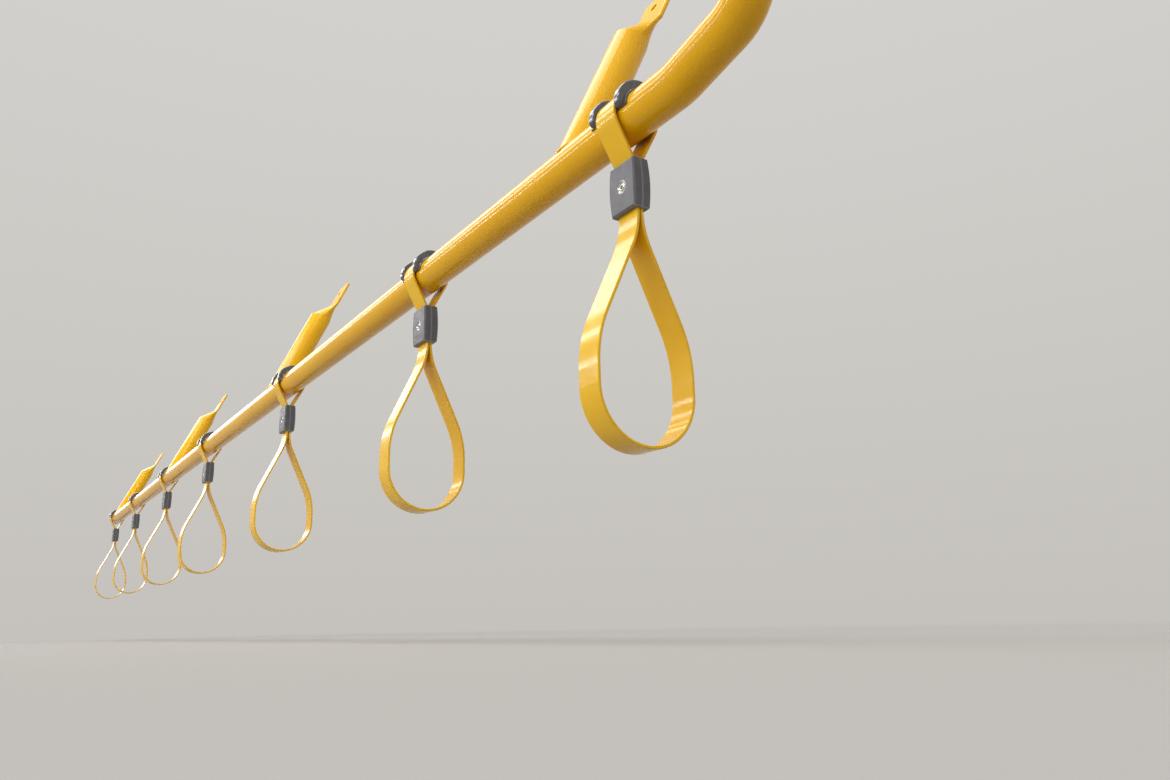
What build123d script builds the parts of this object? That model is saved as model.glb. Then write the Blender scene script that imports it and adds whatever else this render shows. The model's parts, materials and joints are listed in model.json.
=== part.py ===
from build123d import *
import os
from math import acos, atan2, cos, hypot, radians, sin, tan

# Overhead grab rail of a rail vehicle's saloon, with its brackets and hanging strap handles.
# Millimetres, +Z up, +X along the rail towards its cranked end, +Y towards the side wall.
# The origin is the bolt hole of the first bracket, on the face that meets the vehicle.

# Tube of the rail and its brackets
tube_d = 35.0
tube_wall = 2.0

# Rail, measured along X from the first bracket
crank_x = 144.0
crank_angle = 13.0
crank_radius = 60.0
crank_run = 57.0
elbow_radius = 32.0
leg_height = 186.0
rail_overhang = 100.0

# Brackets: a leaning tube whose upper end is pressed flat and bolted up
bracket_pitch = 920.0
bracket_count = 4
bracket_lean = 25.0
bracket_reach = 228.0
tab_offset = 11.5
tab_width = 46.0
tab_thickness = 5.0
tab_length = 46.0
tab_edge = 17.0
press_length = 34.0
tab_hole_d = 9.0
weld_gap = 0.15

# Round flange that carries the rail's upright leg
flange_d = 80.0
flange_thickness = 6.0
flange_hole_d = 7.0
flange_hole_count = 3
flange_pcd = 60.0
flange_edge = 1.5
countersink_share = 1.7

# Cap in the open end of the rail
cap_head = 4.0
cap_plug = 16.0
cap_edge = 2.0
cap_gap = 0.2

# Strap handles: the number of the bracket beside each, and its distance from it along X
strap_places = [
    (1, 79.0),
    (1, -307.0),
    (2, 80.0),
    (2, -492.0),
    (3, -43.0),
    (3, -545.0),
    (4, -56.0),
]

# Band: one flat strip, closed into an eye round the rail and a hand loop below
band_width = 25.0
band_thickness = 2.6
band_edge = 0.6
band_gap = 0.3
strand_gap = 0.6
pinch_radius = 20.0
loop_width = 90.0
loop_depth = 268.0
loop_side = 14.0
shoulder_run = 22.0
split_drop = 17.0

# Saddle that the band hangs on: a thin half ring with a thick rounded rim each side of the band
saddle_gap = 0.15
saddle_base = 1.6
saddle_play = 0.6
saddle_foot = 2.5
foot_edge = 0.7
rim_crown = 10.5
rim_tip = 5.5
rim_width = 8.0
rim_round = 2.0
rim_end_round = 4.5

# Buckle, in two halves round the band
buckle_width = 33.0
buckle_thickness = 17.0
buckle_top = 37.0
buckle_height = 42.0
buckle_side_bow = 1.5
buckle_face_bow = 0.6
buckle_edge = 1.2
pinch_drop = 4.0
channel_gap = 0.15
channel_play = 0.4
screw_d = 4.2
screw_head_d = 11.0
screw_head_depth = 2.4
screw_core_d = 3.4
screw_core_depth = 3.5

# Tube, brackets and rail axis, worked out from the sizes above
tube_r = tube_d / 2
lean = radians(bracket_lean)
bracket_up = Vector(0, sin(lean), cos(lean))
bracket_out = Vector(0, cos(lean), -sin(lean))
rail_centre = (bracket_up * bracket_reach + bracket_out * tab_offset) * -1
rail_y, rail_z = rail_centre.Y, rail_centre.Z
bracket_places = [-bracket_pitch * i for i in range(bracket_count)]
strap_xs = [bracket_places[bracket - 1] + away for bracket, away in strap_places]
rail_end = bracket_places[-1] - rail_overhang
press_start = bracket_reach + tab_edge - tab_length - press_length

# Saddle and band, measured from the rail's axis
saddle_bore = tube_r + saddle_gap
saddle_r = saddle_bore + saddle_base
rim_top, rim_side = saddle_bore + rim_crown, saddle_bore + rim_tip
rim_outer = band_width / 2 + saddle_play + rim_width
eye_r = saddle_r + band_gap + band_thickness / 2
strand_y = (strand_gap + band_thickness) / 2
loop_y = (loop_width - band_thickness) / 2
belly_z = loop_depth - band_thickness / 2 - loop_y
buckle_foot = buckle_top + buckle_height
pinch = (strand_y, -(buckle_top + pinch_drop))


def cross_plane(x):
    """Plane across the rail at x, its own x towards the wall and its own y up."""
    return Plane(origin=(x, rail_y, rail_z), x_dir=(0, 1, 0), z_dir=(1, 0, 0))


def front_plane(x, drop=0.0):
    """Plane along the rail at x, drop millimetres under its axis, facing away from the wall."""
    return Plane(origin=(x, rail_y, rail_z - drop), x_dir=(1, 0, 0), z_dir=(0, -1, 0))


def bracket_plane(x, reach=0.0):
    """Plane across a bracket, reach millimetres up from the rail's axis."""
    centre = rail_centre + bracket_up * reach + Vector(x, 0, 0)
    return Plane(origin=centre, x_dir=(1, 0, 0), z_dir=bracket_up)


def save(part, name):
    part.label = name
    export_step(part, f"parts/{name}.step")


def rail_route():
    """Centre line of the rail: straight, cranked up a little, then up to the flange."""
    rise = radians(crank_angle)
    run = crank_run + elbow_radius * tan((radians(90) - rise) / 2)
    elbow_x = crank_x + run * cos(rise)
    return [
        (rail_end, rail_y, rail_z),
        (crank_x, rail_y, rail_z),
        (elbow_x, rail_y, rail_z + run * sin(rise)),
        (elbow_x, rail_y, rail_z + leg_height - flange_thickness),
    ]


def round_section():
    """Section of the tube in four arcs, so that it lofts edge to edge with the flat one."""
    corner = tube_r * sin(radians(45))
    ThreePointArc((-corner, corner), (0, tube_r), (corner, corner))
    ThreePointArc((corner, corner), (tube_r, 0), (corner, -corner))
    ThreePointArc((corner, -corner), (0, -tube_r), (-corner, -corner))
    ThreePointArc((-corner, -corner), (-tube_r, 0), (-corner, corner))


def flat_section():
    """Section of the pressed end: straight front and back, round sides."""
    half = (tab_width - tab_thickness) / 2
    front, middle = tab_offset - tab_thickness, tab_offset - tab_thickness / 2
    Line((-half, tab_offset), (half, tab_offset))
    ThreePointArc((half, tab_offset), (tab_width / 2, middle), (half, front))
    Line((half, front), (-half, front))
    ThreePointArc((-half, front), (-tab_width / 2, middle), (-half, tab_offset))


def strand_line():
    """Centre line of one side of the band, from where it leaves the eye to the loop's side."""
    leave_angle = acos(eye_r / hypot(*pinch)) + atan2(pinch[1], pinch[0])
    leave = (eye_r * cos(leave_angle), eye_r * sin(leave_angle))
    split = (strand_y, -(buckle_foot + split_drop))
    shoulder = (loop_y, -(belly_z - loop_side - shoulder_run))
    half_turn = tan(atan2(shoulder[0] - split[0], split[1] - shoulder[1]) / 2)
    radii = [pinch_radius, split_drop / half_turn, shoulder_run / half_turn]
    return [leave, pinch, split, shoulder, (loop_y, -belly_z)], radii


os.makedirs("parts", exist_ok=True)

# Rail: one bent tube, open at the end that the cap closes
route = rail_route()
with BuildPart() as rail:
    with BuildLine() as rail_line:
        FilletPolyline(*route, radius=[crank_radius, elbow_radius])
    with BuildSketch(Plane(origin=route[0], z_dir=(1, 0, 0))):
        Circle(tube_r)
        Circle(tube_r - tube_wall, mode=Mode.SUBTRACT)
    sweep(path=rail_line.line)
save(rail.part, "rail")

# Flange on top of the upright leg, with countersunk holes
with BuildPart() as flange:
    with BuildSketch(Plane(origin=route[-1])):
        Circle(flange_d / 2)
    extrude(amount=flange_thickness)
    chamfer(flange.faces().sort_by(Axis.Z)[0].edges(), flange_edge)
    with Locations(Plane(origin=route[-1], x_dir=(1, 0, 0), z_dir=(0, 0, -1))):
        with PolarLocations(flange_pcd / 2, flange_hole_count):
            CounterSinkHole(flange_hole_d / 2, countersink_share * flange_hole_d / 2, flange_thickness)
save(flange.part, "ceiling_flange")

# Cap: a domed head over the tube's end and a plug inside it
with BuildPart() as cap:
    with BuildSketch(Plane(origin=route[0], z_dir=(-1, 0, 0))):
        Circle(tube_r)
    extrude(amount=cap_head)
    fillet(cap.faces().sort_by(Axis.X)[0].edges(), cap_edge)
    with BuildSketch(Plane(origin=route[0], z_dir=(1, 0, 0))):
        Circle(tube_r - tube_wall - cap_gap)
    extrude(amount=cap_plug)
save(cap.part, "end_cap")

# Brackets: tube, pressed transition, flat tab with its hole, and a foot cut to the rail
for number, x in enumerate(bracket_places, 1):
    tube_top = bracket_plane(x, press_start)
    tab_foot = bracket_plane(x, press_start + press_length)
    with BuildPart() as bracket:
        with BuildSketch(bracket_plane(x)):
            Circle(tube_r)
        extrude(amount=press_start)
        with BuildSketch(tube_top):
            with BuildLine():
                round_section()
            make_face()
        with BuildSketch(tab_foot):
            with BuildLine():
                flat_section()
            make_face()
        loft()
        with BuildSketch(tab_foot):
            with BuildLine():
                flat_section()
            make_face()
        extrude(amount=tab_length)
        with BuildSketch(bracket_plane(x)):
            Circle(tube_r - tube_wall)
        extrude(amount=press_start, mode=Mode.SUBTRACT)
        with BuildSketch(cross_plane(x)):
            Circle(tube_r + weld_gap)
        extrude(amount=tube_d, both=True, mode=Mode.SUBTRACT)
        with Locations(Plane(origin=(x, 0, 0), x_dir=(1, 0, 0), z_dir=bracket_out)):
            Hole(tab_hole_d / 2, depth=tab_thickness)
    save(bracket.part, f"bracket_{number}")

# Strap handles
strand, strand_radii = strand_line()
leave = strand[0]
mouth_side = [leave, pinch, (strand_y, -buckle_foot)]
mouth = mouth_side + [(-y, z) for y, z in reversed(mouth_side)]
for number, x in enumerate(strap_xs, 1):
    screw_plane = front_plane(x, drop=buckle_top + buckle_height / 2)

    # Saddle: two rims rounded all over, joined by half a ring that stands out past them
    with BuildPart() as saddle:
        for side in (-1, 1):
            with BuildSketch(cross_plane(x + side * rim_outer)) as rim:
                with BuildLine():
                    ThreePointArc((-rim_side, 0), (0, rim_top), (rim_side, 0))
                    Line((rim_side, 0), (-rim_side, 0))
                make_face()
                fillet(rim.vertices(), rim_end_round)
            extrude(amount=-side * rim_width)
        fillet(saddle.edges().filter_by(Axis.X, reverse=True), rim_round)
        with BuildSketch(cross_plane(x)):
            with BuildLine():
                ThreePointArc((-saddle_r, 0), (0, saddle_r), (saddle_r, 0))
                Line((saddle_r, 0), (-saddle_r, 0))
            make_face()
        extrude(amount=rim_outer + saddle_foot, both=True)
        ends = saddle.faces().sort_by(Axis.X)
        chamfer((ends[0].edges() + ends[-1].edges()).filter_by(GeomType.CIRCLE), foot_edge)
        with BuildSketch(cross_plane(x)):
            Circle(saddle_bore)
        extrude(amount=rim_outer + 2 * saddle_foot, both=True, mode=Mode.SUBTRACT)
    save(saddle.part, f"saddle_{number}")

    # Band: the closed line traced to its thickness, with softened edges and the screw's hole
    with BuildPart() as band:
        with BuildSketch(cross_plane(x)):
            with BuildLine():
                ThreePointArc((0, eye_r), (eye_r, 0), leave)
                FilletPolyline(*strand, radius=strand_radii)
                CenterArc((0, -belly_z), loop_y, 0, -90)
                mirror(about=Plane.YZ)
            trace(line_width=band_thickness)
        extrude(amount=band_width / 2, both=True)
        sides = band.faces().sort_by(Axis.X)
        chamfer(sides[0].edges() + sides[-1].edges(), band_edge)
        with BuildSketch(screw_plane):
            Circle(screw_d / 2)
        extrude(amount=buckle_thickness, both=True, mode=Mode.SUBTRACT)
    save(band.part, f"strap_band_{number}")

    # Buckle halves: a block bowed two ways, hollowed by the band's own line
    for name, side in (("front", -1), ("back", 1)):
        top, middle, foot = -buckle_top, -(buckle_top + buckle_foot) / 2, -buckle_foot
        side_end = buckle_width / 2 - buckle_side_bow
        face_end = side * (buckle_thickness / 2 - buckle_face_bow)
        with BuildPart() as half:
            with BuildSketch(front_plane(x)):
                with BuildLine():
                    Line((0, top), (side_end, top))
                    ThreePointArc((side_end, top), (buckle_width / 2, middle), (side_end, foot))
                    Line((side_end, foot), (0, foot))
                    mirror(about=Plane.YZ)
                make_face()
            extrude(amount=-side * buckle_thickness / 2)
            with BuildSketch(cross_plane(x)):
                with BuildLine():
                    Line((0, top), (face_end, top))
                    ThreePointArc(
                        (face_end, top), (side * buckle_thickness / 2, middle), (face_end, foot)
                    )
                    Polyline((face_end, foot), (0, foot), (0, top))
                make_face()
            extrude(amount=buckle_width / 2, both=True, mode=Mode.INTERSECT)
            chamfer(half.faces().sort_by(Axis.Y)[0 if side < 0 else -1].edges(), buckle_edge)
            with BuildSketch(cross_plane(x)):
                with BuildLine():
                    FilletPolyline(*strand[:4], radius=strand_radii[:2])
                    mirror(about=Plane.YZ)
                trace(line_width=band_thickness + 2 * channel_gap)
                Polygon(*mouth, align=None)
            extrude(amount=band_width / 2 + channel_play, both=True, mode=Mode.SUBTRACT)
            with BuildSketch(screw_plane):
                Circle((screw_d if side < 0 else screw_core_d) / 2)
            if side < 0:
                extrude(amount=buckle_thickness, mode=Mode.SUBTRACT)
                with BuildSketch(screw_plane.offset(buckle_thickness / 2 - screw_head_depth)):
                    Circle(screw_head_d / 2)
                extrude(amount=buckle_thickness, mode=Mode.SUBTRACT)
            else:
                extrude(amount=-(strand_y + band_thickness / 2 + screw_core_depth), mode=Mode.SUBTRACT)
        save(half.part, f"buckle_{name}_{number}")
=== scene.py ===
import json
from math import pi, radians

import bpy
from mathutils import Matrix, Vector


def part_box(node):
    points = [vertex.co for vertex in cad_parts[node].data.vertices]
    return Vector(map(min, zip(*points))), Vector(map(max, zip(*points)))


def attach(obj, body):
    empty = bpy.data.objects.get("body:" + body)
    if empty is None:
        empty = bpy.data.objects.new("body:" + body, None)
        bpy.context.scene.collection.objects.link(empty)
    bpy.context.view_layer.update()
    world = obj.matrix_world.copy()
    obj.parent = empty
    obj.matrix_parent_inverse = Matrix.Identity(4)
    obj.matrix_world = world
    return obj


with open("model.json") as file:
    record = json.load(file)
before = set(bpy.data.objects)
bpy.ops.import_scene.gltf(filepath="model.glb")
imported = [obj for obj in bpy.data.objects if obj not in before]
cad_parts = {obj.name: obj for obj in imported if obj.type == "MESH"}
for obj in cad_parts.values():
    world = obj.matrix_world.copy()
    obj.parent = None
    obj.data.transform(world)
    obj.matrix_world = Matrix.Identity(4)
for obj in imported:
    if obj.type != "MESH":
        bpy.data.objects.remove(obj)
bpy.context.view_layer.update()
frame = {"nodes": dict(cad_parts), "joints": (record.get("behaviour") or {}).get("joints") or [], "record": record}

# Overhead grab rail with leaning brackets and hanging strap handles, in metres.
# The rail runs along X, and each strap swings about its axis.

mm = 0.001
up = Vector((0, 0, 1))

# Camera, found from the photograph's vanishing points and measured from the rail's axis
photo_width = 1170
sensor_width = 36.0
focal_pixels = 889.7
camera_along = 0.583
camera_aside = 0.395
camera_below = 0.387
view_azimuth = 55.47
view_rise = 14.64
view_roll = 1.61
near_clip = 5 * mm
floor_under_camera = 0.015

# Screw through each buckle: a dished head that fills the front half's recess, with a raised
# crown round its hexagon socket. Each step of the dish is an inset and then a lift.
recess_depth = 2.4 * mm
head_r = 5.35 * mm
head_height = 2.15 * mm
head_sides = 48
dish_steps = (
    (0.45 * mm, 0),
    (0.7 * mm, -0.45 * mm),
    (0.9 * mm, -0.35 * mm),
    (0.5 * mm, 0.5 * mm),
    (0.25 * mm, 0.15 * mm),
)
shank_r = 1.6 * mm
shank_length = 12.0 * mm
hexagon_sides = 6
socket_across = 3.0 * mm
socket_depth = 1.4 * mm
edge_round = 0.14 * mm
edge_segments = 2
sharp_angle = radians(40)
degrees_per_screw = 37

# Cosine from which a face counts as looking along a direction
facing = 0.9

# Weld beads under the paint, where a bracket meets the rail and the leg meets its flange
bead_r = 1.7 * mm
bead_inset = 0.2 * mm
bead_steps = 144
bead_roundness = 3
ripple_pitch = 3.2 * mm
ripple_depth = 0.1

strap_names = [joint["child"] for joint in frame["joints"]]
strap_places = [Vector(joint["pos_m"]) for joint in frame["joints"]]
rail_y, rail_z = strap_places[0].y, strap_places[0].z
mounts = {mount["name"]: mount for mount in frame["record"]["mounts"]}
bracket_names = sorted(name for name in frame["nodes"] if name.startswith("bracket_"))
tube_r = (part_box("rail")[1].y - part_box("rail")[0].y) / 2


def select_only(piece):
    """Leaves just this object selected and active."""
    bpy.ops.object.select_all(action="DESELECT")
    piece.select_set(True)
    bpy.context.view_layer.objects.active = piece


def select_facing(piece, direction):
    """In edit mode, selects the faces that look along a direction."""
    bpy.ops.mesh.select_all(action="DESELECT")
    bpy.ops.object.mode_set(mode="OBJECT")
    for face in piece.data.polygons:
        face.select = face.normal.dot(direction) > facing
    bpy.ops.object.mode_set(mode="EDIT")


def apply_modifier(piece, kind, **settings):
    """Adds a modifier with its settings and applies it."""
    select_only(piece)
    modifier = piece.modifiers.new(kind.lower(), kind)
    for name, value in settings.items():
        setattr(modifier, name, value)
    bpy.ops.object.modifier_apply(modifier=modifier.name)


def finish_piece(piece, name, material, body):
    """Puts a piece's place into its mesh, gives it its finish and lets it ride on its body."""
    select_only(piece)
    bpy.ops.object.transform_apply(location=True, rotation=True, scale=True)
    piece.name = name
    piece.data.name = name
    piece.data.materials.clear()
    piece.data.materials.append(material)
    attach(piece, body)


# Materials

# Where a noise pattern's values mostly lie, and the wider span that wear is read from
noise_span = {"From Min": 0.35, "From Max": 0.65}
wear_span = {"From Min": 0.35, "From Max": 0.7}

# Sockets of a Mix node, whose names don't tell its numbers from its colours
mix_factor, number_a, number_b, colour_a, colour_b = 0, 2, 3, 6, 7
mixed_number, mixed_colour = 0, 2


def colour(code):
    """Linear colour of an sRGB hex code."""
    parts = [int(code[i:i + 2], 16) / 255 for i in (1, 3, 5)]
    return [c / 12.92 if c <= 0.04045 else ((c + 0.055) / 1.055) ** 2.4 for c in parts] + [1.0]


def add(tree, kind, inputs, output=0, **settings):
    """Adds a node, sets or links its inputs, and gives back the output asked for."""
    node = tree.nodes.new(kind)
    for name, value in settings.items():
        setattr(node, name, value)
    for name, value in inputs.items():
        if isinstance(value, bpy.types.NodeSocket):
            tree.links.new(value, node.inputs[name])
        else:
            node.inputs[name].default_value = value
    return node.outputs[output] if node.outputs else None


def blank_material(name):
    """A material with an empty node tree, and the object's own coordinates."""
    material = bpy.data.materials.new(name)
    material.use_nodes = True
    tree = material.node_tree
    tree.nodes.clear()
    return material, tree, add(tree, "ShaderNodeTexCoord", {}, "Object")


def mottled(tree, pattern, light, dark):
    """A base colour that wanders between two close tones with a noise pattern."""
    tone = add(tree, "ShaderNodeMapRange", {"Value": pattern, **noise_span})
    tones = {mix_factor: tone, colour_a: colour(light), colour_b: colour(dark)}
    return add(tree, "ShaderNodeMix", tones, mixed_colour, data_type="RGBA")


def powder_coat():
    """Signal yellow polyester powder coat on steel tube: full gloss, with a faint orange peel
    some millimetres across, and slightly dulled where hands rub along it."""
    drift_size, rub_size, peel_size = 160 * mm, 22 * mm, 5 * mm
    material, tree, place = blank_material("signal_yellow_gloss_powder_coat")
    drift = add(
        tree, "ShaderNodeTexNoise", {"Vector": place, "Scale": 1 / drift_size, "Detail": 3}
    )
    base = mottled(tree, drift, "#EDB50D", "#E6AC0A")
    along = add(tree, "ShaderNodeMapping", {"Vector": place, "Scale": (0.25, 1, 1)})
    rubbed = add(
        tree,
        "ShaderNodeTexNoise",
        {"Vector": along, "Scale": 1 / rub_size, "Detail": 6, "Roughness": 0.65},
    )
    gloss = add(
        tree, "ShaderNodeMapRange", {"Value": rubbed, **wear_span, "To Min": 0.1, "To Max": 0.2}
    )
    peel = add(
        tree, "ShaderNodeTexNoise", {"Vector": place, "Scale": 1 / peel_size, "Detail": 1}
    )
    skin = add(
        tree,
        "ShaderNodeBump",
        {"Height": peel, "Distance": 0.01 * mm, "Strength": 0.25, "Filter Width": 1.0},
    )
    shader = add(
        tree,
        "ShaderNodeBsdfPrincipled",
        {"Base Color": base, "Roughness": gloss, "Normal": skin, "Specular IOR Level": 0.3},
    )
    add(tree, "ShaderNodeOutputMaterial", {"Surface": shader})
    return material


def strap_plastic():
    """Yellow polyurethane, injection moulded in a polished tool: glossy and slightly soft to
    light, with flow lines along the strip and a fine grain in the highlights. The grain is
    drawn coarser than the real one, so that it shows."""
    cloud_size, handled_size, flow_size, grain_size = 45 * mm, 12 * mm, 2 * mm, 0.9 * mm
    material, tree, place = blank_material("yellow_moulded_polyurethane")
    cloud = add(
        tree, "ShaderNodeTexNoise", {"Vector": place, "Scale": 1 / cloud_size, "Detail": 3}
    )
    base = mottled(tree, cloud, "#F0C022", "#EAB81C")
    handled = add(
        tree,
        "ShaderNodeTexNoise",
        {"Vector": place, "Scale": 1 / handled_size, "Detail": 6, "Roughness": 0.6},
    )
    gloss = add(
        tree,
        "ShaderNodeMapRange",
        {"Value": handled, **wear_span, "To Min": 0.12, "To Max": 0.22},
    )
    along = add(tree, "ShaderNodeMapping", {"Vector": place, "Scale": (1, 0.05, 0.05)})
    flow = add(
        tree, "ShaderNodeTexNoise", {"Vector": along, "Scale": 1 / flow_size, "Detail": 2}
    )
    lines = add(
        tree,
        "ShaderNodeBump",
        {"Height": flow, "Distance": 0.005 * mm, "Strength": 0.5, "Filter Width": 1.0},
    )
    grain = add(
        tree, "ShaderNodeTexNoise", {"Vector": place, "Scale": 1 / grain_size, "Detail": 1}
    )
    skin = add(
        tree,
        "ShaderNodeBump",
        {
            "Height": grain,
            "Distance": 0.002 * mm,
            "Strength": 0.5,
            "Filter Width": 1.0,
            "Normal": lines,
        },
    )
    shader = add(
        tree,
        "ShaderNodeBsdfPrincipled",
        {
            "Base Color": base,
            "Roughness": gloss,
            "Normal": skin,
            "Specular IOR Level": 0.4,
            "Subsurface Weight": 0.08,
            "Subsurface Radius": (1.0, 0.45, 0.1),
            "Subsurface Scale": 1.2 * mm,
        },
    )
    add(tree, "ShaderNodeOutputMaterial", {"Surface": shader})
    return material


def saddle_plastic():
    """Dark grey polyamide, moulded in a polished tool: a near mirror with slight sink marks."""
    sink_size, scuff_size = 9 * mm, 2.5 * mm
    material, tree, place = blank_material("dark_grey_polished_polyamide")
    sink = add(
        tree, "ShaderNodeTexNoise", {"Vector": place, "Scale": 1 / sink_size, "Detail": 1}
    )
    base = mottled(tree, sink, "#55565B", "#4B4C50")
    scuff = add(
        tree,
        "ShaderNodeTexNoise",
        {"Vector": place, "Scale": 1 / scuff_size, "Detail": 6, "Roughness": 0.7},
    )
    gloss = add(
        tree, "ShaderNodeMapRange", {"Value": scuff, **wear_span, "To Min": 0.1, "To Max": 0.22}
    )
    skin = add(tree, "ShaderNodeBump", {"Height": sink, "Distance": 0.05 * mm, "Strength": 0.5})
    shader = add(
        tree,
        "ShaderNodeBsdfPrincipled",
        {
            "Base Color": base,
            "Roughness": gloss,
            "Normal": skin,
            "Coat Weight": 0.4,
            "Coat Roughness": 0.05,
        },
    )
    add(tree, "ShaderNodeOutputMaterial", {"Surface": shader})
    return material


def buckle_plastic():
    """Mid grey ABS from a spark-eroded tool: satin, with an even grain, and polished by rubbing
    along its edges. Along the edges its colour is also painted lighter, partly as rubbed wear and
    partly as a painted highlight on the rounded edges. The grain is drawn coarser than the real
    one, so that it shows."""
    rub_size, grain_size, edge_width = 7 * mm, 0.7 * mm, 1.6 * mm
    polished = 0.2
    material, tree, place = blank_material("mid_grey_spark_eroded_abs")
    rubbed = add(
        tree,
        "ShaderNodeTexNoise",
        {"Vector": place, "Scale": 1 / rub_size, "Detail": 5, "Roughness": 0.6},
    )
    base = mottled(tree, rubbed, "#67666C", "#5F5E64")
    gloss = add(
        tree,
        "ShaderNodeMapRange",
        {"Value": rubbed, **noise_span, "To Min": 0.34, "To Max": 0.46},
    )
    grain = add(
        tree, "ShaderNodeTexNoise", {"Vector": place, "Scale": 1 / grain_size, "Detail": 2}
    )
    skin = add(
        tree,
        "ShaderNodeBump",
        {"Height": grain, "Distance": 0.015 * mm, "Strength": 0.5, "Filter Width": 1.0},
    )
    # Edge mask from how thin the part is: the edges are painted lighter, partly rubbed wear and partly a painted
    # highlight
    depth = add(
        tree, "ShaderNodeAmbientOcclusion", {"Distance": edge_width}, "AO", samples=8, inside=True
    )
    edge_wear_and_highlight = add(tree, "ShaderNodeMapRange", {"Value": depth, "From Min": 0.9, "From Max": 0.45})
    base = add(
        tree,
        "ShaderNodeMix",
        {mix_factor: edge_wear_and_highlight, colour_a: base, colour_b: colour("#96959C")},
        mixed_colour,
        data_type="RGBA",
    )
    gloss = add(
        tree,
        "ShaderNodeMix",
        {mix_factor: edge_wear_and_highlight, number_a: gloss, number_b: polished},
        mixed_number,
    )
    shader = add(
        tree,
        "ShaderNodeBsdfPrincipled",
        {"Base Color": base, "Roughness": gloss, "Normal": skin, "Specular IOR Level": 0.4},
    )
    add(tree, "ShaderNodeOutputMaterial", {"Surface": shader})
    return material


def screw_steel():
    """Stainless steel, cold headed and tumbled: bright, with the soft marks of tumbling."""
    rub_size = 1.5 * mm
    material, tree, place = blank_material("tumbled_stainless_steel")
    rubbed = add(
        tree, "ShaderNodeTexNoise", {"Vector": place, "Scale": 1 / rub_size, "Detail": 5}
    )
    base = mottled(tree, rubbed, "#BEBCB7", "#A9A7A2")
    gloss = add(
        tree,
        "ShaderNodeMapRange",
        {"Value": rubbed, **noise_span, "To Min": 0.14, "To Max": 0.3},
    )
    skin = add(
        tree, "ShaderNodeBump", {"Height": rubbed, "Distance": 0.02 * mm, "Strength": 0.5}
    )
    shader = add(
        tree,
        "ShaderNodeBsdfPrincipled",
        {"Base Color": base, "Roughness": gloss, "Normal": skin, "Metallic": 1.0},
    )
    add(tree, "ShaderNodeOutputMaterial", {"Surface": shader})
    return material


rail_coat = powder_coat()
strap_finish = strap_plastic()
saddle_finish = saddle_plastic()
buckle_finish = buckle_plastic()
steel = screw_steel()

# Each CAD node's finish, by the first word of its name
finishes = {
    "rail": rail_coat,
    "ceiling": rail_coat,
    "end": rail_coat,
    "bracket": rail_coat,
    "saddle": saddle_finish,
    "strap": strap_finish,
    "buckle": buckle_finish,
}
for name, node in frame["nodes"].items():
    node.data.materials.clear()
    node.data.materials.append(finishes[name.split("_")[0]])


# Buckle screws


def button_screw():
    """One screw along Z: a dished head on z = 0 with a hexagon socket, and its shank below."""
    bpy.ops.object.select_all(action="DESELECT")
    bpy.ops.mesh.primitive_cylinder_add(
        vertices=head_sides, radius=head_r, depth=head_height, location=(0, 0, head_height / 2)
    )
    screw = bpy.context.object
    bpy.ops.object.transform_apply(location=True)
    bpy.ops.object.mode_set(mode="EDIT")
    select_facing(screw, up)
    for inset, lift in dish_steps:
        bpy.ops.mesh.inset(thickness=inset)
        bpy.ops.transform.translate(value=(0, 0, lift))
    select_facing(screw, -up)
    bpy.ops.mesh.inset(thickness=head_r - shank_r)
    bpy.ops.mesh.extrude_region_move(TRANSFORM_OT_translate={"value": (0, 0, -shank_length)})
    bpy.ops.object.mode_set(mode="OBJECT")

    # The cutter's radius is to its corners, and the socket is measured across its flats
    bpy.ops.mesh.primitive_cylinder_add(
        vertices=hexagon_sides,
        radius=socket_across / 3 ** 0.5,
        depth=2 * socket_depth,
        location=(0, 0, head_height),
    )
    cutter = bpy.context.object
    apply_modifier(screw, "BOOLEAN", operation="DIFFERENCE", solver="EXACT", object=cutter)
    bpy.data.objects.remove(cutter)
    apply_modifier(
        screw,
        "BEVEL",
        width=edge_round,
        segments=edge_segments,
        limit_method="ANGLE",
        angle_limit=sharp_angle,
    )
    bpy.ops.object.shade_smooth_by_angle(angle=sharp_angle)
    return screw


pattern = button_screw()
into_buckle = Matrix.Rotation(radians(90), 4, "X")
for number, (body, place) in enumerate(zip(strap_names, strap_places), 1):
    low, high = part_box(f"buckle_front_{number}")
    screw = pattern.copy()
    screw.data = pattern.data.copy()
    bpy.context.scene.collection.objects.link(screw)
    seat = Vector((place.x, low.y + recess_depth, (low.z + high.z) / 2))
    driven_to = Matrix.Rotation(radians(degrees_per_screw * number), 4, "Z")
    screw.matrix_world = Matrix.Translation(seat) @ into_buckle @ driven_to
    finish_piece(screw, f"buckle_screw_{number}", steel, body)
bpy.data.objects.remove(pattern)


# Weld beads


def bead(name, centre, axis, radius, onto=None):
    """A painted bead on a circle about axis, laid onto a piece along that axis if one is given."""
    bpy.ops.object.select_all(action="DESELECT")
    bpy.ops.mesh.primitive_circle_add(vertices=bead_steps, radius=radius)
    ring = bpy.context.object
    turned = axis.to_track_quat("Z", "Y").to_matrix().to_4x4()
    ring.matrix_world = Matrix.Translation(centre) @ turned
    bpy.ops.object.transform_apply(location=True, rotation=True)
    if onto:
        for vertex in ring.data.vertices:
            hit, spot = onto.ray_cast(vertex.co, -axis)[:2]
            if hit:
                vertex.co = spot
    bpy.ops.object.convert(target="CURVE")
    ring = bpy.context.object
    ring.data.bevel_depth = bead_r
    ring.data.bevel_resolution = bead_roundness
    step = 2 * pi * radius / bead_steps
    for count, point in enumerate(ring.data.splines[0].points):
        # Goes evenly up and down between -0.25 and 0.25, once in each pitch
        wave = abs(count * step / ripple_pitch % 1 - 0.5) - 0.25
        point.radius = 1.0 + ripple_depth * wave
    bpy.ops.object.convert(target="MESH")
    ring = bpy.context.object
    bpy.ops.object.shade_smooth()
    finish_piece(ring, name, rail_coat, "rail_frame")


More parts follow.
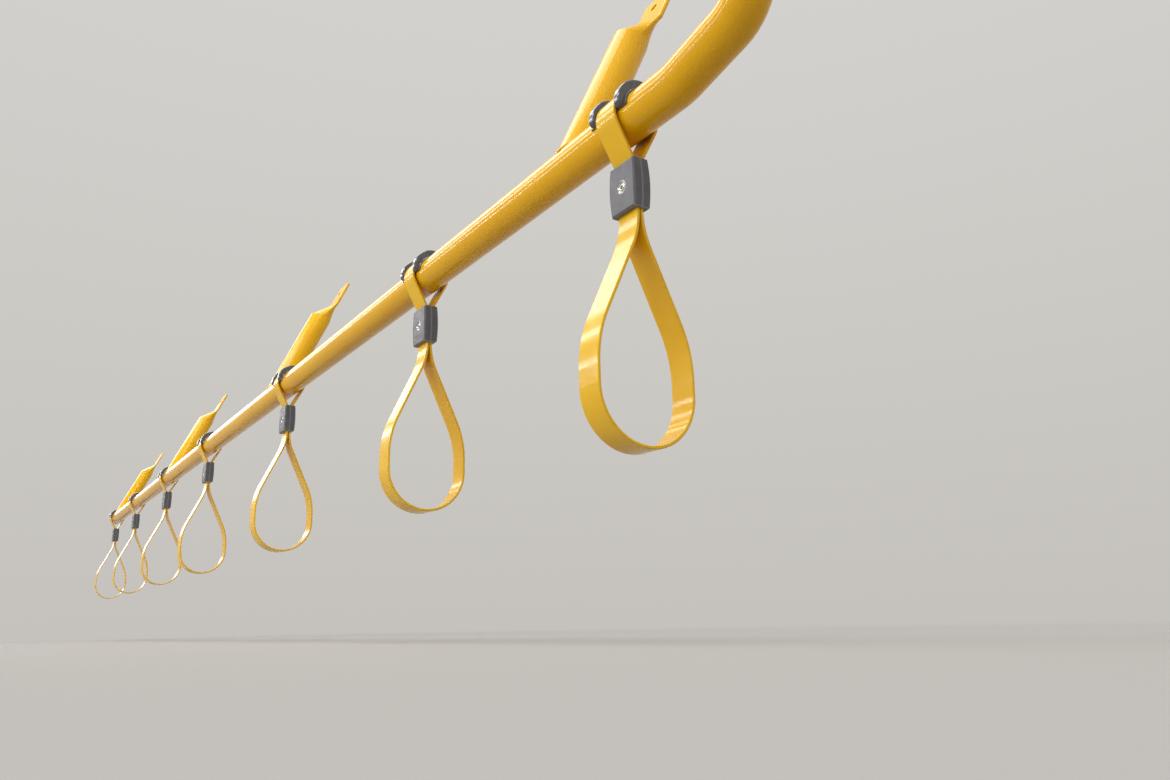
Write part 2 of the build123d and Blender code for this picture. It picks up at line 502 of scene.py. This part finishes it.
rail = frame["nodes"]["rail"]
for number, bracket in enumerate(bracket_names, 1):
    # The bracket's tube runs square to its bolt, and up from the rail
    bolt = mounts[f"{bracket}_bolt"]
    away = Vector(bolt["axis"])
    up_bracket = Vector((0, -away.z, away.y))
    if up_bracket.z < 0:
        up_bracket = -up_bracket
    above_rail = Vector((bolt["pos_m"][0], rail_y, rail_z)) + up_bracket * 2 * tube_r
    bead(f"bracket_weld_{number}", above_rail, up_bracket, tube_r - bead_inset, onto=rail)
flange_low, flange_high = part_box("ceiling_flange")
flange_middle = (flange_low + flange_high) / 2
under_flange = Vector((flange_middle.x, flange_middle.y, flange_low.z))
bead("flange_weld", under_flange, up, tube_r)


# Camera

camera = bpy.data.objects.new("camera", bpy.data.cameras.new("camera"))
bpy.context.scene.collection.objects.link(camera)
camera.data.sensor_width = sensor_width
camera.data.lens = focal_pixels / photo_width * sensor_width
camera.data.clip_start = near_clip
camera_place = Vector((camera_along, rail_y - camera_aside, rail_z - camera_below))
camera.matrix_world = (
    Matrix.Translation(camera_place)
    @ Matrix.Rotation(radians(view_azimuth), 4, "Z")
    @ Matrix.Rotation(radians(90 + view_rise), 4, "X")
    @ Matrix.Rotation(radians(-view_roll), 4, "Z")
)
bpy.context.scene.camera = camera


# Stage: pale floor, pale surroundings, soft lamps

# The floor is pale to the eye, and dimmer in the light that it throws back. Away from the
# object's middle it fades into the backdrop's own tone, so that no horizon shows. The fade is
# an oval, long along the rail.
floor_size = 60
floor_seen = colour("#ADAAA5")
floor_thrown_back = colour("#938D84")
fade_along, fade_aside = -1.35, -0.1
fade_squash = 0.3
fade_start, fade_end = 0.3, 0.9

# The backdrop is a little lighter high up than at the horizon
horizon_tone = colour("#C5C2BD")
high_tone = colour("#D5D3CF")
high_rise = 0.7

# The surroundings' own light comes mostly from high up in front, and is dim on the other side
key_direction = (-0.35, -0.45, 0.82)
key_dimmest, key_brightest = -0.7, 0.9
dim_fill = colour("#6E6960")
bright_fill = colour("#FFFFFF")
fill_strength = 0.8


def seen_ray(tree):
    """1 for rays that show the surroundings: from the camera, off gloss or through glass."""
    kinds = [
        add(tree, "ShaderNodeLightPath", {}, f"Is {kind} Ray")
        for kind in ("Camera", "Glossy", "Transmission")
    ]
    first = add(tree, "ShaderNodeMath", {0: kinds[0], 1: kinds[1]}, operation="MAXIMUM")
    return add(tree, "ShaderNodeMath", {0: first, 1: kinds[2]}, operation="MAXIMUM")


bpy.ops.object.select_all(action="DESELECT")
bpy.ops.mesh.primitive_plane_add(
    size=floor_size, location=(0, 0, camera_place.z - floor_under_camera)
)
floor = bpy.context.object
floor.name = "floor"
floor_paint, tree, place = blank_material("pale_matt_floor_paint")
seen = seen_ray(tree)
shown = add(
    tree,
    "ShaderNodeMix",
    {mix_factor: seen, colour_a: floor_thrown_back, colour_b: floor_seen},
    mixed_colour,
    data_type="RGBA",
)
near = add(
    tree,
    "ShaderNodeBsdfPrincipled",
    {"Base Color": shown, "Roughness": 0.9, "Specular IOR Level": 0.0},
)
around = add(
    tree,
    "ShaderNodeMapping",
    {
        "Vector": place,
        "Location": (-fade_along * fade_squash, -fade_aside, 0),
        "Scale": (fade_squash, 1, 1),
    },
)
distance = add(tree, "ShaderNodeVectorMath", {0: around}, "Value", operation="LENGTH")
faded = add(
    tree,
    "ShaderNodeMapRange",
    {"Value": distance, "From Min": fade_start, "From Max": fade_end},
    interpolation_type="SMOOTHSTEP",
)
faded = add(tree, "ShaderNodeMath", {0: faded, 1: seen}, operation="MULTIPLY")
far = add(tree, "ShaderNodeEmission", {"Color": horizon_tone})
blend = add(tree, "ShaderNodeMixShader", {0: faded, 1: near, 2: far})
# A view from below looks through the floor
underside = add(tree, "ShaderNodeNewGeometry", {}, "Backfacing")
clear = add(tree, "ShaderNodeBsdfTransparent", {})
blend = add(tree, "ShaderNodeMixShader", {0: underside, 1: blend, 2: clear})
add(tree, "ShaderNodeOutputMaterial", {"Surface": blend})
# It shows its tone without being searched as a lamp, which would only add noise
floor_paint.cycles.emission_sampling = "NONE"
floor.data.materials.append(floor_paint)

world = bpy.data.worlds.new("studio")
bpy.context.scene.world = world
world.use_nodes = True
tree = world.node_tree
tree.nodes.clear()
direction = add(tree, "ShaderNodeTexCoord", {}, "Generated")
rise = add(tree, "ShaderNodeSeparateXYZ", {0: direction}, "Z")
height = add(
    tree, "ShaderNodeMapRange", {"Value": rise, "From Min": 0.0, "From Max": high_rise}
)
backdrop = add(
    tree,
    "ShaderNodeMix",
    {mix_factor: height, colour_a: horizon_tone, colour_b: high_tone},
    mixed_colour,
    data_type="RGBA",
)
backdrop = add(tree, "ShaderNodeBackground", {"Color": backdrop})
toward_key = add(
    tree,
    "ShaderNodeVectorMath",
    {0: direction, 1: key_direction},
    "Value",
    operation="DOT_PRODUCT",
)
key_side = add(
    tree,
    "ShaderNodeMapRange",
    {"Value": toward_key, "From Min": key_dimmest, "From Max": key_brightest},
)
fill = add(
    tree,
    "ShaderNodeMix",
    {mix_factor: key_side, colour_a: dim_fill, colour_b: bright_fill},
    mixed_colour,
    data_type="RGBA",
)
fill = add(tree, "ShaderNodeBackground", {"Color": fill, "Strength": fill_strength})
sky = add(tree, "ShaderNodeMixShader", {0: seen_ray(tree), 1: fill, 2: backdrop})
add(tree, "ShaderNodeOutputWorld", {"Surface": sky})


def lamp(name, aim, offset, size, radiance, fills=True, glints=True):
    """A soft lamp, long along the rail, that faces its aim from an offset. A radiance of 1 is
    white. It can be kept from filling the surfaces, or from glinting on the gloss."""
    length, width = size
    light = bpy.data.lights.new(name, "AREA")
    light.shape = "RECTANGLE"
    light.size, light.size_y = length, width
    light.energy = radiance * pi * length * width
    made = bpy.data.objects.new(name, light)
    bpy.context.scene.collection.objects.link(made)
    out = Vector(offset).normalized()
    along = Vector((1, 0, 0))
    turned = Matrix((along, out.cross(along), out)).transposed().to_4x4()
    made.matrix_world = Matrix.Translation(aim + Vector(offset)) @ turned
    made.visible_camera = False
    made.visible_diffuse = fills
    made.visible_glossy = glints


# The lamps face these points along the rail. Those that don't fill are there for their
# highlights, and those that don't glint are there to even out the light.
crank = Vector((1.4, rail_y, rail_z))
strap_run = Vector((-1.35, rail_y, rail_z))
near_run = Vector((-1.95, rail_y, rail_z))
middle = Vector((-5.5, rail_y, rail_z))
far_run = Vector((-8.35, rail_y - 0.32, rail_z))
lamp("overhead_lamp", near_run, offset=(0, -0.1, 0.8), size=(4.1, 0.34), radiance=3.5)
lamp("low_side_lamp", strap_run, offset=(0, -1.6, 0.7), size=(3.7, 0.1), radiance=12.0)
lamp("far_lamp", far_run, offset=(0, 0, 0.8), size=(10.7, 0.85), radiance=4.0, fills=False)
lamp(
    "high_side_lamp",
    strap_run,
    offset=(0, -0.66, 0.8),
    size=(3.7, 0.14),
    radiance=6.5,
    fills=False,
)
lamp("crank_lamp", crank, offset=(0, -0.05, 0.8), size=(3.0, 0.28), radiance=3.5, glints=False)
lamp("front_lamp", middle, offset=(0, -2.2, 0.2), size=(16.0, 1.2), radiance=1.1, glints=False)
lamp("back_lamp", middle, offset=(0, 2.2, 0.2), size=(16.0, 1.2), radiance=0.9, glints=False)

# View transform, and the end
bpy.context.scene.view_settings.view_transform = "Standard"
